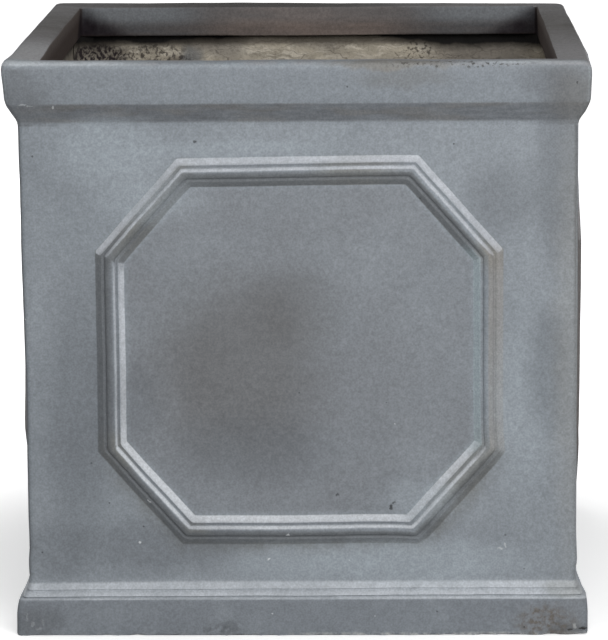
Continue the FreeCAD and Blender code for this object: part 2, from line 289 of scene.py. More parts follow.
def add_octagon(piece):
    """Cut the octagon out of the wall's face and raise its moulding by insets."""
    edit(piece)
    for position in (-OCTAGON_HALF, OCTAGON_HALF):
        pick("FACE", on_wall_face)
        slice_across(0, position)
    for position in (OCTAGON_BOTTOM, OCTAGON_TOP):
        pick("FACE", in_octagon)
        slice_across(2, position)
    for side in (1, -1):
        for end, height in ((1, OCTAGON_TOP), (-1, OCTAGON_BOTTOM)):
            pick("FACE", in_octagon)
            bpy.ops.mesh.bisect(
                plane_co=(side * (OCTAGON_HALF - OCTAGON_CUT_ACROSS), 0, height),
                plane_no=(side * OCTAGON_CUT_UP, 0, end * OCTAGON_CUT_ACROSS),
            )
    pick("FACE", in_octagon)
    across, height = 0.0, 0.0
    for next_across, next_height in octagon_section():
        bpy.ops.mesh.inset(thickness=next_across - across, depth=next_height - height)
        across, height = next_across, next_height
    pick("EDGE", is_crease)
    bpy.ops.mesh.bevel(offset=OCTAGON_ROUND, segments=OCTAGON_ROUND_STEPS, affect="EDGES")
    leave_edit()


def plinth_section():
    """Outside of the plinth from the wall down to the ground, as (reach, height)."""
    return [
        (0.0, 40.2),
        (0.25, 38.7),
        (0.7, 37.6),
        (2.7, 33.2),
        (2.9, 32.75),
        (2.85, 32.5),
        (2.5, 32.3),
        (2.5, 32.0),
        (2.9, 31.65),
        (3.9, 31.3),
        (5.0, 30.3),
        (5.8, 29.2),
        (6.1, 28.5),
        (6.0, 28.25),
        (5.5, 27.95),
        (5.5, 27.7),
        (6.3, 27.5),
        (7.4, 27.2),
        (8.2, 26.7),
        (8.5, 26.1),
        (8.6, 25.4),
    ]


def wall_section():
    """Closed section of a wall with its plinth, rebated behind the rim."""
    outside = [(WALL_HALF + reach * MM, height * MM) for reach, height in plinth_section()]
    foot = [
        (RIM_HALF, 2.0 * MM),
        (RIM_HALF - 0.4 * MM, 0.7 * MM),
        (RIM_HALF - 1.6 * MM, 0.0),
    ]
    inside = [
        (LEDGE_HALF, 0.0),
        (LEDGE_HALF, LEDGE_HEIGHT),
        (SKIN_HALF, LEDGE_HEIGHT),
        (SKIN_HALF, WALL_TOP),
        (WALL_HALF - REBATE, WALL_TOP),
        (WALL_HALF - REBATE, RIM_FOOT),
        (WALL_HALF, RIM_FOOT),
    ]
    return outside + foot + inside


def rim_section():
    """Closed section of a rim length, as (half width, height)."""
    outside = [
        (0.0, 43.0),
        (0.35, 40.6),
        (1.2, 38.4),
        (6.2, 29.6),
        (7.0, 27.6),
        (7.5, 25.8),
        (7.8, 24.2),
        (8.3, 17.0),
        (8.6, 10.0),
        (8.55, 6.5),
        (8.2, 4.4),
        (7.2, 2.3),
        (5.7, 0.9),
        (3.6, 0.15),
        (1.8, 0.0),
    ]
    section = [(WALL_HALF + reach * MM, LIP_HEIGHT - drop * MM) for reach, drop in outside]
    section += [
        (WALL_HALF - 0.5 * MM, LIP_HEIGHT),
        (WALL_HALF - 7.0 * MM, LIP_HEIGHT),
        (MOUTH_HALF + 3.0 * MM, LIP_HEIGHT),
        (MOUTH_HALF + 1.5 * MM, LIP_HEIGHT - 0.1 * MM),
        (MOUTH_HALF + 0.5 * MM, LIP_HEIGHT - 0.5 * MM),
        (MOUTH_HALF, LIP_HEIGHT - 1.5 * MM),
        (MOUTH_HALF, LIP_HEIGHT - 3.0 * MM),
        (MOUTH_HALF, BAND_FOOT + 9.0 * MM),
        (MOUTH_HALF, BAND_FOOT + 0.6 * MM),
        (MOUTH_HALF + 0.6 * MM, BAND_FOOT),
        (MOUTH_HALF + BAND_THICKNESS, BAND_FOOT),
        (MOUTH_HALF + BAND_THICKNESS, WALL_TOP),
        (WALL_HALF - REBATE, WALL_TOP),
        (WALL_HALF - REBATE, RIM_FOOT),
    ]
    return section


# The waves all over the casting: name, width and height
UNEVEN = [
    ("long_waves", 110 * MM, 1.6 * MM),
    ("short_waves", 22 * MM, 0.35 * MM),
]


def clouds(name, scale, depth):
    """A cloudy texture of this scale, with finer clouds in it as many times as its depth."""
    texture = bpy.data.textures.new(name, "CLOUDS")
    texture.noise_scale = scale
    texture.noise_depth = depth
    return texture


def displace(piece, texture, direction, strength, group="", level=0.5):
    """Move points by a texture that follows their place, so that joined pieces stay joined."""
    modifier = piece.modifiers.new(texture.name, "DISPLACE")
    modifier.texture = texture
    modifier.texture_coords = "LOCAL"
    modifier.direction = direction
    modifier.mid_level = level
    modifier.strength = strength
    modifier.vertex_group = group
    bpy.ops.object.modifier_apply(modifier=modifier.name)


def group_of(piece, name, test):
    """A vertex group of the points that pass a test."""
    group = piece.vertex_groups.new(name=name)
    chosen = [vertex.index for vertex in piece.data.vertices if test(vertex.co)]
    group.add(chosen, 1.0, "REPLACE")


# The chips along the plinth's bottom edge
FOOT_EDGE_HEIGHT = 1.5 * MM
FOOT_EDGE_WIDTH = 3 * MM
NICK_SPACING = 9 * MM
NICK_SIZE = 3.2 * MM
NICK_LEVEL = 0.48


def nick_foot(piece):
    """Chip the plinth's bottom edge a little, with nothing left under the ground."""
    reach = RIM_HALF - FOOT_EDGE_WIDTH

    def at_edge(place):
        return place.z < FOOT_EDGE_HEIGHT and max(abs(place.x), abs(place.y)) > reach

    only(piece)
    group_of(piece, "foot_edge", at_edge)
    displace(piece, clouds("nicks", NICK_SPACING, 2), "Z", NICK_SIZE, "foot_edge", NICK_LEVEL)
    for vertex in piece.data.vertices:
        vertex.co.z = max(vertex.co.z, 0.0)


def note_cast_place(piece):
    """Keep each point's place in the true casting, for the paint that follows its moulding."""
    points = numpy.empty(3 * len(piece.data.vertices))
    piece.data.vertices.foreach_get("co", points)
    places = piece.data.attributes.new("cast_place", "FLOAT_VECTOR", "POINT")
    places.data.foreach_set("vector", points / MM)


def make_uneven(piece):
    """Move every point a little, as a hand-laid casting is, with nothing under the ground."""
    only(piece)
    for name, scale, strength in UNEVEN:
        texture = clouds(name, scale, 1)
        texture.cloud_type = "COLOR"
        displace(piece, texture, "RGB_TO_XYZ", strength)
    nick_foot(piece)


RIGHT = (1, 0, 0)
LEFT = (-1, 0, 0)
UP = (0, 0, 1)
DOWN = (0, 0, -1)

# Where the casting was pressed out of true while it was wet: a path of (x, y, z, amount) and how
# far round it the clay moved, in mm, then the way it went
PRESSES = [
    # The lip's outer edge stands higher than its inner edge, most of all at the back left
    (
        [
            (0, -200, 400, 1.1),
            (-150, -200, 400, 1.5),
            (-200, -200, 400, 2.3),
            (-200, -120, 400, 2.9),
            (-200, 200, 400, 3.2),
            (0, 200, 400, 2.0),
            (200, 200, 400, 0.1),
            (200, -200, 400, 0.6),
            (0, -200, 400, 1.1),
        ],
        42,
        UP,
    ),
    # The right rim bulges outwards near the front
    ([(200, -185, 396, 0.4), (200, -120, 396, 1.8), (200, 0, 396, 0.9), (200, 180, 396, 0)], 36, RIGHT),
    # The front left rim corner stands out a little
    ([(-200, -200, 396, 0.7), (-200, -200, 372, 0.6)], 40, LEFT),
    # The left rim is a little wider at the front
    ([(-178, -176, 399, 1.0), (-178, -120, 399, 0.9), (-178, -60, 399, 0)], 9, RIGHT),
    # The front left corner of the walls leans in
    (
        [
            (-191, -191, 340, 0.7),
            (-191, -191, 230, 1.7),
            (-191, -191, 180, 2.4),
            (-191, -191, 130, 1.8),
            (-191, -191, 60, 1.9),
            (-191, -191, 45, 0.6),
        ],
        60,
        RIGHT,
    ),
    # The foot of the wall is full at the front right corner
    ([(191, -191, 62, 0.5), (191, -191, 50, 1.5)], 10, RIGHT),
    # The octagons of both sides are a little flat near the front
    ([(-196, -135, 225, 0.5), (-196, -130, 182, 1.2), (-196, -135, 140, 0.2)], 36, RIGHT),
    ([(196, -135, 164, 0.2), (196, -135, 132, 0.8)], 26, LEFT),
    # The plinth is drawn in along both sides
    ([(-200, -175, 14, 1.6), (-200, -120, 14, 3.6), (-200, 60, 14, 2.6), (-200, 180, 14, 0)], 46, RIGHT),
    ([(200, -172, 14, 0.8), (200, -120, 14, 4.2), (200, 60, 14, 2.6), (200, 180, 14, 0)], 46, LEFT),
    # The octagon's top sags towards the left, and its left side leans in
    (
        [(-150, -191, 300, 1.0), (-84, -191, 329, 2.0), (0, -191, 329, 1.1), (90, -191, 329, 0.5)],
        31,
        DOWN,
    ),
    ([(-134, -191, 275, 1.2), (-134, -191, 130, 1.0)], 34, RIGHT),
    ([(92, -191, 75, 2.3), (132, -191, 120, 2.3)], 31, (0.75, 0, -0.66)),
    # Clay smeared over the plinth's moulding at the front corners
    ([(191, -192, 46, 1.2), (192, -193, 38, 1.8)], 13, (0, -0.8, 0)),
    ([(-191, -192, 44, 1.0), (-192, -193, 40, 1.0)], 13, (0, -0.8, 0.5)),
    # The plinth's shoulders are worn down at the front corners
    ([(-194, -194, 42, 1.0), (-196, -196, 34, 1.6), (-199, -199, 28, 1.0)], 14, RIGHT),
    ([(193, -193, 41, 1.2), (196, -196, 34, 2.0), (198, -198, 30, 1.1)], 14, LEFT),
    # Its shoulders along both sides are worn too
    (
        [(-200, -190, 29, 1.6), (-200, -170, 27, 2.1), (-200, -145, 27, 2.3), (-200, -80, 27, 0)],
        14,
        RIGHT,
    ),
    ([(200, -185, 31, 0.6), (200, -165, 31, 2.5), (200, -125, 31, 2.4), (200, -50, 31, 0)], 14, LEFT),
    # Its moulding hangs lower at the left
    ([(-200, -196, 31, 1.1), (-120, -196, 31, 0.9), (-50, -196, 31, 0.1)], 13, DOWN),
    # The rim is full at its corners, at the top on the left and at the foot on the right
    (
        [(-200, -199, 396, 0.8), (-200, -186, 397, 2.4), (-200, -168, 397, 1.7), (-200, -140, 397, 0)],
        11,
        (-0.7, 0, 0.7),
    ),
    ([(197, -197, 370, 0.8), (195, -195, 364, 1.8)], 12, RIGHT),
]


def press(piece, path, reach, way):
    """Move the points near a path by the amounts along it, fading out over the reach."""
    vertices = piece.data.vertices
    points = numpy.empty(3 * len(vertices))
    vertices.foreach_get("co", points)
    points = points.reshape(-1, 3)
    nearest = numpy.full(len(points), numpy.inf)
    amounts = numpy.zeros(len(points))
    for start, end in zip(path, path[1:]):
        start_place = numpy.array(start[:3]) * MM
        run = numpy.array(end[:3]) * MM - start_place
        share = numpy.clip((points - start_place) @ run / (run @ run), 0, 1)
        distance = numpy.linalg.norm(points - start_place - share[:, None] * run, axis=1)
        closer = distance < nearest
        nearest[closer] = distance[closer]
        amounts[closer] = (start[3] + (end[3] - start[3]) * share[closer]) * MM
    nearness = numpy.clip(1 - nearest / (reach * MM), 0, 1)
    ease = nearness**2 * (3 - 2 * nearness)
    points += numpy.outer(amounts * ease, way)
    vertices.foreach_set("co", points.ravel())
    piece.data.update()


def press_all(piece):
    """Put a piece out of true with the rest of the casting."""
    for path, reach, way in PRESSES:
        press(piece, path, reach, way)


def copies_round(piece, names):
    """Copy a front piece to the other three sides, each with its own mesh."""
    pieces = [piece]
    piece.name = names[0]
    for quarter, name in enumerate(names[1:], start=1):
        other = piece.copy()
        other.data = piece.data.copy()
        other.name = name
        other.data.name = name
        bpy.context.collection.objects.link(other)
        only(other)
        other.rotation_euler = (0, 0, math.radians(90 * quarter))
        bpy.ops.object.transform_apply(rotation=True)
        pieces.append(other)
    return pieces


# The turns, in degrees, from which an edge looks sharp on a casting and on rough laminate
CAST_TURN = 40
ROUGH_TURN = 60


def shade(piece, degrees):
    """Smooth shading with edges kept where the surface turns sharply."""
    only(piece)
    bpy.ops.object.shade_smooth_by_angle(angle=math.radians(degrees))


def make_walls():
    """The four moulded face panels."""
    wall = square_ring("front_panel", wall_section())
    keep_front(wall)
    add_octagon(wall)
    across = grid_places(-RIM_HALF, RIM_HALF, GRID)
    up = grid_places(0.0, RIM_FOOT, GRID)
    cut_grid(wall, faces_out, across, up)
    return copies_round(wall, [f"{side}_panel" for side in SIDES])


def make_rims():
    """The four rim lengths."""
    rim = square_ring("front_rim_cast", rim_section())
    keep_front(rim)
    across = grid_places(-RIM_HALF, RIM_HALF, GRID)
    cut_grid(rim, lambda face: True, across, [])
    return copies_round(rim, [f"{side}_rim_cast" for side in SIDES])


LAMINATE_GRID = 3.0 * MM
FLOOR_GRID = 4.0 * MM
FLOOR_BOND_LEG = 15.0 * MM
FLOOR_BOND_LAND = 1.0 * MM
CORNER_COVE_SHARE = 0.98
CORNER_COVE_PROFILE = 0.16
CORNER_COVE_STEPS = 8
DRAIN_RADIUS = 12.5 * MM
DRAIN_SIDES = 48
GROOVE_FOOT = BAND_FOOT - 5.5 * MM
GROOVE_DEPTH = 2.4 * MM

# How much of a face's normal has to point one way for the face to be sloping or flat that way
SLOPING = 0.3
FLAT = 0.5

# How rough the hand-laid laminate is: kind of texture, its scale, its height, and how far the
# pattern is squeezed along the height into streaks
ROUGHNESS = [
    ("lumps", "CLOUDS", 26 * MM, 3.4 * MM, 1.0),
    ("trowel_streaks", "CLOUDS", 34 * MM, 2.2 * MM, 6.0),
    ("crumbs", "STUCCI", 7 * MM, 1.3 * MM, 1.0),
]

# How much of that roughness the backings, the fillets and the floor have
BACKING_SHARE = 1.0
FILLET_SHARE = 0.6
FLOOR_SHARE = 0.35


def stretch(piece, times):
    """Multiply a piece's heights."""
    edit(piece)
    select_everything()
    bpy.ops.transform.resize(value=(1, 1, times), center_override=(0, 0, 0))
    leave_edit()


def roughen(piece, group, share):
    """Make a laid-up surface rough, where its vertex group says."""
    for name, kind, scale, height, squeeze in ROUGHNESS:
        texture = bpy.data.textures.new(name, kind)
        texture.noise_scale = scale
        if kind == "CLOUDS":
            texture.noise_depth = 3
        stretch(piece, squeeze)
        displace(piece, texture, "NORMAL", height * share, group)
        stretch(piece, 1 / squeeze)


def make_laminates():
    """The coarse laminate behind each face panel, hollowed under the return band."""
    section = [
        (SKIN_HALF, WALL_TOP),
        (SKIN_HALF, FLOOR_TOP),
        (INSIDE_HALF, FLOOR_TOP),
        (INSIDE_HALF, GROOVE_FOOT),
        (INSIDE_HALF + GROOVE_DEPTH, GROOVE_FOOT + GROOVE_DEPTH),
        (INSIDE_HALF + GROOVE_DEPTH, WALL_TOP),
    ]
    laminate = square_ring("front_laminate", section)
    keep_front(laminate)
    across = grid_places(-INSIDE_HALF, INSIDE_HALF, LAMINATE_GRID)
    up = grid_places(FLOOR_TOP, WALL_TOP, LAMINATE_GRID)
    cut_grid(laminate, lambda face: face.normal.y > SLOPING, across, up)
    inner = -(INSIDE_HALF + GROOVE_DEPTH + 0.1 * MM)
    group_of(laminate, "inside", lambda place: place.y > inner)
    return copies_round(laminate, [f"{side}_laminate" for side in SIDES])


def make_corner_fillets():
    """The coved fillet of resin and fibre up each inside corner."""
    middle = INSIDE_HALF - CORNER_BOND_LEG / 2
    corner = (middle, -middle, FLOOR_TOP)
    fillet = flat_square("front_right_corner_fillet", CORNER_BOND_LEG, corner)
    pick("VERT", lambda vertex: vertex.co.x < middle and vertex.co.y > -middle)
    bpy.ops.mesh.bevel(
        offset=CORNER_BOND_LEG * CORNER_COVE_SHARE,
        segments=CORNER_COVE_STEPS,
        profile=CORNER_COVE_PROFILE,
        affect="VERTICES",
    )
    select_everything()
    bpy.ops.mesh.extrude_region_move(
        TRANSFORM_OT_translate={"value": (0, 0, BAND_FOOT - FLOOR_TOP)}
    )
    select_everything()
    bpy.ops.mesh.normals_make_consistent(inside=False)
    leave_edit()
    up = grid_places(FLOOR_TOP, BAND_FOOT, LAMINATE_GRID)
    cut_grid(fillet, lambda face: abs(face.normal.z) < FLAT, [], up)
    near = INSIDE_HALF - 0.5 * MM
    group_of(fillet, "inside", lambda place: place.x < near and place.y > -near)
    return copies_round(fillet, [f"{corner}_corner_fillet" for corner in CORNERS])


def make_floor_fillet():
    """The sloped fillet laid round the floor's edge."""
    section = [
        (INSIDE_HALF, FLOOR_TOP),
        (INSIDE_HALF - FLOOR_BOND_LEG, FLOOR_TOP),
        (INSIDE_HALF - FLOOR_BOND_LAND, FLOOR_TOP + FLOOR_BOND_LEG),
        (INSIDE_HALF, FLOOR_TOP + FLOOR_BOND_LEG),
    ]
    fillet = square_ring("floor_fillet", section)
    places = grid_places(-INSIDE_HALF, INSIDE_HALF, FLOOR_GRID)
    heights = grid_places(FLOOR_TOP, FLOOR_TOP + FLOOR_BOND_LEG, FLOOR_GRID)
    cut_grid(fillet, lambda face: face.normal.z > SLOPING, places, heights, places)
    group_of(fillet, "inside", lambda place: place.z > FLOOR_TOP + MM)
    return fillet


def make_floor_slab():
    """The cast floor panel; its drain hole is drilled afterwards."""
    deselect_all()
    thickness = FLOOR_TOP - LEDGE_HEIGHT
    bpy.ops.mesh.primitive_cube_add(
        size=1,
        location=(0, 0, LEDGE_HEIGHT + thickness / 2),
        scale=(2 * SKIN_HALF, 2 * SKIN_HALF, thickness),
    )
    slab = new_piece("floor_slab")
    bpy.ops.object.transform_apply(location=True, scale=True)
    places = grid_places(-SKIN_HALF, SKIN_HALF, FLOOR_GRID)
    cut_grid(slab, lambda face: abs(face.normal.z) > FLAT, places, [], places)
    inside = SKIN_HALF - MM
    group_of(slab, "faces", lambda place: max(abs(place.x), abs(place.y)) < inside)
    return slab


def drill(piece, radius, low, high):
    """Cut a round hole up the middle of a piece."""
    deselect_all()
    bpy.ops.mesh.primitive_cylinder_add(
        vertices=DRAIN_SIDES,
        radius=radius,
        depth=2 * (high - low),
        location=(0, 0, (low + high) / 2),
    )
    bit = new_piece("drill")
    only(piece)
    modifier = piece.modifiers.new("drain", "BOOLEAN")
    modifier.operation = "DIFFERENCE"
    modifier.object = bit
    bpy.ops.object.modifier_apply(modifier=modifier.name)
    bpy.data.objects.remove(bit)


def srgb(code):
    """A hex sRGB colour as the linear colour that a shader takes."""
    linear = []
    for start in (1, 3, 5):
        part = int(code[start:start + 2], 16) / 255
        linear.append(part / 12.92 if part <= 0.04045 else ((part + 0.055) / 1.055) ** 2.4)
    return (*linear, 1.0)


def connect(tree, made, inputs):
    """Give a node its inputs, each a plain value, a socket or something that has a socket."""
    for name, value in inputs.items():
        value = getattr(value, "socket", value)
        if isinstance(value, bpy.types.NodeSocket):
            tree.links.new(value, made.inputs[name])
        else:
            made.inputs[name].default_value = value


def node(tree, kind, inputs=None, **settings):
    """Add a node with its settings and inputs."""
    made = tree.nodes.new(kind)
    for name, value in settings.items():
        setattr(made, name, value)
    connect(tree, made, inputs or {})
    return made


def maths(tree, operation, *values):
    """A value worked out from others by one operation."""
    made = node(tree, "ShaderNodeMath", dict(enumerate(values)), operation=operation)
    return Value(tree, made.outputs[0])


class Value:
    """A number that nodes work out at each point: a mask from 0 to 1, a height or a slope."""

    def __init__(self, tree, socket):
        self.tree = tree
        self.socket = socket

    def __add__(self, other):
        return maths(self.tree, "ADD", self, other)

    def __sub__(self, other):
        return maths(self.tree, "SUBTRACT", self, other)

    def __abs__(self):
        return maths(self.tree, "ABSOLUTE", self)

    def __mul__(self, other):
        """Where both of two masks are."""
        return maths(self.tree, "MULTIPLY", self, other)

    def __or__(self, other):
        """Where either of two masks is."""
        return maths(self.tree, "MAXIMUM", self, other)

    def __invert__(self):
        """Where a mask isn't."""
        return maths(self.tree, "SUBTRACT", 1.0, self)

    def fade(self, start, end, low=0.0, high=1.0, easing="SMOOTHSTEP"):
        """A value that runs from low at the start to high at the end."""
        limits = {"From Min": start, "From Max": end, "To Min": low, "To Max": high}
        inputs = {"Value": self, **limits}
        made = node(self.tree, "ShaderNodeMapRange", inputs, interpolation_type=easing)
        return Value(self.tree, made.outputs["Result"])

    def zone(self, low, high, soft):
        """A mask that is one from low to high and fades over a width at both ends."""
        half = soft / 2
        return self.fade(low - half, low + half) * self.fade(high + half, high - half)


def vector_maths(tree, operation, *vectors):
    """A place worked out from vectors, or a value for a length or a dot product."""
    made = node(tree, "ShaderNodeVectorMath", dict(enumerate(vectors)), operation=operation)
    if operation in ("LENGTH", "DOT_PRODUCT"):
        return Value(tree, made.outputs["Value"])
    return Place(tree, made.outputs[0])


class Place:
    """A place in millimetres at each point, which patterns and stains follow."""

    def __init__(self, tree, socket):
        self.tree = tree
        self.socket = socket

    def parts(self):
        """Its x, y and z."""
        outputs = node(self.tree, "ShaderNodeSeparateXYZ", {0: self}).outputs
        return [Value(self.tree, output) for output in outputs]

    def squeezed(self, times):
        """The place with its height multiplied, so that patterns lie in streaks."""
        made = node(self.tree, "ShaderNodeMapping", {"Vector": self, "Scale": (1, 1, times)})
        return Place(self.tree, made.outputs[0])

    def wobble(self, width, reach):
        """The place moved about a little, for stains and marks with uneven edges."""
        inputs = {"Vector": self, "Scale": 1 / width, "Detail": 4}
        cloud = node(self.tree, "ShaderNodeTexNoise", inputs)
        shift = vector_maths(self.tree, "SUBTRACT", cloud.outputs["Color"], (0.5, 0.5, 0.5))
        return vector_maths(self.tree, "MULTIPLY_ADD", shift, (reach, reach, reach), self)

    def patches(self, width, detail, low, high, faint=0.35, full=0.65):
        """Soft irregular patches about this wide in mm, as a value that runs from low to high."""
        inputs = {"Vector": self, "Scale": 1 / width, "Detail": detail, "Roughness": 0.55}
        cloud = node(self.tree, "ShaderNodeTexNoise", inputs)
        return Value(self.tree, cloud.outputs[0]).fade(faint, full, low, high, "LINEAR")

    def specks(self, apart, size, share):
        """Small round specks about this far apart in mm, in a share of the places."""
        cells = node(self.tree, "ShaderNodeTexVoronoi", {"Vector": self, "Scale": 1 / apart})
        chance = node(self.tree, "ShaderNodeSeparateColor", {0: cells.outputs["Color"]})
        chosen = Value(self.tree, chance.outputs[0]).fade(1 - share, 1 - share + 0.01)
        distance = Value(self.tree, cells.outputs["Distance"])
        return chosen * distance.fade(size / apart, 0.6 * size / apart)

    def stain(self, middle, reach, core=0.3):
        """A mask round a place in mm, full at its core and fading out at its reach each way."""
        away = vector_maths(self.tree, "SUBTRACT", self, middle)
        shares = vector_maths(self.tree, "DIVIDE", away, reach)
        return vector_maths(self.tree, "LENGTH", shares).fade(1.0, core)


class Coats:
    """A finish laid in thin coats, each a colour that is as strong as its mask."""

    def __init__(self, tree, code):
        self.tree = tree
        self.socket = srgb(code)

    def wash(self, code, mask):
        """Lay one thin coat."""
        inputs = {0: mask, 6: self.socket, 7: srgb(code)}
        self.socket = node(self.tree, "ShaderNodeMix", inputs, data_type="RGBA").outputs[2]


# The mouth of the planter for the paint, in mm: how far out, and from which height up
MOUTH_OUT = (184, 182)
MOUTH_UP = (371, 373)


class PaintMap:
    """The places on the planter, in millimetres, that the paint and its wear follow."""

    def __init__(self, tree):
        self.tree = tree
        coordinates = node(tree, "ShaderNodeTexCoord").outputs
        inputs = {0: coordinates["Object"], "Scale": 1 / MM}
        in_mm = node(tree, "ShaderNodeVectorMath", inputs, operation="SCALE")
        self.place = Place(tree, in_mm.outputs[0])
        self.x, self.y, self.height = self.place.parts()
        facing_x, facing_y, self.up = Place(tree, coordinates["Normal"]).parts()
        self.sideways = abs(facing_x)
        self.along = maths(tree, "MINIMUM", abs(self.x), abs(self.y))
        self.out = abs(self.x) | abs(self.y)
        self.right = self.to_the_right(facing_x, facing_y)
        self.across = self.to_the_right(self.x, self.y)
        self.mouth = self.out.fade(*MOUTH_OUT) * self.height.fade(*MOUTH_UP)
        self.octagon = self.octagon_distance()
        self.wobbly = self.place.wobble(16, 14)
        self.ragged = self.place.wobble(2.5, 4)

    def to_the_right(self, value_x, value_y):
        """How much of a value in x and y is to the right, seen from outside each side."""
        front_or_back = maths(self.tree, "GREATER_THAN", abs(self.y), abs(self.x))
        seen_in_front = maths(self.tree, "SIGN", self.y) * value_x * -1.0
        seen_from_side = maths(self.tree, "SIGN", self.x) * value_y
        inputs = {0: front_or_back, 2: seen_from_side, 3: seen_in_front}
        mixed = node(self.tree, "ShaderNodeMix", inputs, data_type="FLOAT")
        return Value(self.tree, mixed.outputs[0])

    def octagon_distance(self):
        """Distance outside the octagon's outer line in the true casting, negative inside it."""
        cast = node(self.tree, "ShaderNodeAttribute", attribute_name="cast_place")
        x, y, height = Place(self.tree, cast.outputs["Vector"]).parts()
        along = maths(self.tree, "MINIMUM", abs(x), abs(y))
        middle = (OCTAGON_BOTTOM + OCTAGON_TOP) / 2 / MM
        half_height = (OCTAGON_TOP - OCTAGON_BOTTOM) / 2 / MM
        half_width = OCTAGON_HALF / MM
        slant = math.hypot(OCTAGON_CUT_UP, OCTAGON_CUT_ACROSS)
        lean = (OCTAGON_CUT_UP / slant, OCTAGON_CUT_ACROSS / slant)
        reach = lean[0] * (half_width - OCTAGON_CUT_ACROSS / MM) + lean[1] * half_height
        away = abs(height - middle)
        place = node(self.tree, "ShaderNodeCombineXYZ", {0: along, 1: away, 2: 1.0}).outputs[0]
        to_side, to_end, to_corner = (
            vector_maths(self.tree, "DOT_PRODUCT", place, line)
            for line in ((1, 0, -half_width), (0, 1, -half_height), (*lean, -reach))
        )
        return to_side | to_end | to_corner


SLOPE_MM = SLOPE_WIDTH / MM
QUIRK_MM = QUIRK_WIDTH / MM
BEAD_MM = BEAD_WIDTH / MM
MOULDING_MM = 2 * (SLOPE_MM + QUIRK_MM) + BEAD_MM
CREST_MM = MOULDING_MM / 2

# Where the front wall's face and the plinth's and rim's faces lie, in mm
WALL_FACE = -191
OUTER_FACE = -200

# How far stains and marks reach into the planter, in mm
STAIN_DEPTH = 60
MARK_DEPTH = 20

# Where brown dirt clings to the octagon's moulding: across, height and reach in mm
MOULDING_STAINS = [
    (-112, 300, 50),
    (116, 108, 52),
    (136, 270, 22),
    (-130, 130, 22),
    (-74, 70, 18),
    (-81, 335, 18),
    (40, 335, 40),
]


def toward_light_and_brushing(spot):
    """How far each point faces up, or right and not down: where the painted light falls and dry brushing
    drags.
    """
    turned = node(spot.tree, "ShaderNodeCombineXYZ", {0: spot.right, 1: spot.up}).outputs[0]
    tilt = vector_maths(spot.tree, "LENGTH", turned)
    up = maths(spot.tree, "MINIMUM", spot.up * 1.5, tilt)
    return up | spot.right * spot.up.fade(-0.12, -0.02) * 0.5


def facing_away(spot):
    """The moulding's shaded slopes: outside at the foot and left, inside at the top."""
    outer = spot.octagon.fade(-CREST_MM - 0.5, -CREST_MM + 1.5)
    inner = spot.octagon.fade(-CREST_MM + 0.5, -CREST_MM - 1.5)
    low_or_left = spot.height.fade(138, 118) | spot.across.fade(-116, -128) * 0.9
    return outer * low_or_left | inner * spot.height.fade(264, 280)


class OctagonMap:
    """The parts of the octagon's moulding, and how each catches the painted light and dry brushing."""

    def __init__(self, spot):
        self.on_walls = spot.height.zone(44, 357, 4)
        self.whole = self.on_walls * spot.octagon.zone(-MOULDING_MM, 0, 1.0)
        bead_outside = -SLOPE_MM - QUIRK_MM
        self.bead = spot.octagon.zone(bead_outside - BEAD_MM, bead_outside, 0.6)
        self.from_crest = abs(spot.octagon + CREST_MM)
        self.quirks = self.from_crest.zone(BEAD_MM / 2 + 0.1, BEAD_MM / 2 + QUIRK_MM + 0.4, 0.6)
        self.slopes = ~(self.bead | self.quirks)
        # painted light from the upper right, together with dry brushing
        self.light_and_brush = toward_light_and_brushing(spot)
        self.away = facing_away(spot)
        self.streaks = spot.place.patches(18, 3, 0.7, 1.0)

    def lit(self, spot):
        """Painted highlight with pale dry brushing, less at two dirty corners and towards the right."""
        slopes = self.slopes * self.light_and_brush.fade(0.05, 0.2)
        slopes = slopes * self.from_crest.fade(5.2, 7.6, 0.45, 1.0)
        beads = self.bead * self.light_and_brush.fade(0.18, 0.42)
        low_corner = spot.wobbly.stain((129, WALL_FACE, 130), (18, STAIN_DEPTH, 12))
        high_corner = spot.wobbly.stain((-122, WALL_FACE, 265), (18, STAIN_DEPTH, 12))
        clean = (low_corner | high_corner).fade(0.0, 1.0, 1.0, 0.4)
        to_the_right = spot.up.fade(0.05, 0.2) | spot.across.fade(80, 135, 1.0, 0.2)
        return (slopes | beads) * clean * to_the_right

    def shade_and_grime(self, spot):
        """Painted shade with grime: what faces down or left, most of all towards the left."""
        downward = spot.up * 0.25 + spot.right
        turned_away = spot.up.fade(-0.05, -0.2) | downward.fade(-0.05, -0.2)
        shaded = self.slopes * turned_away | self.bead * (~self.light_and_brush).fade(0.7, 1.0)
        under_or_left = spot.up.fade(-0.1, -0.3) | spot.across.fade(80, -60, 0.1, 1.0)
        return shaded * under_or_left * spot.place.patches(14, 3, 0.75, 1.0)


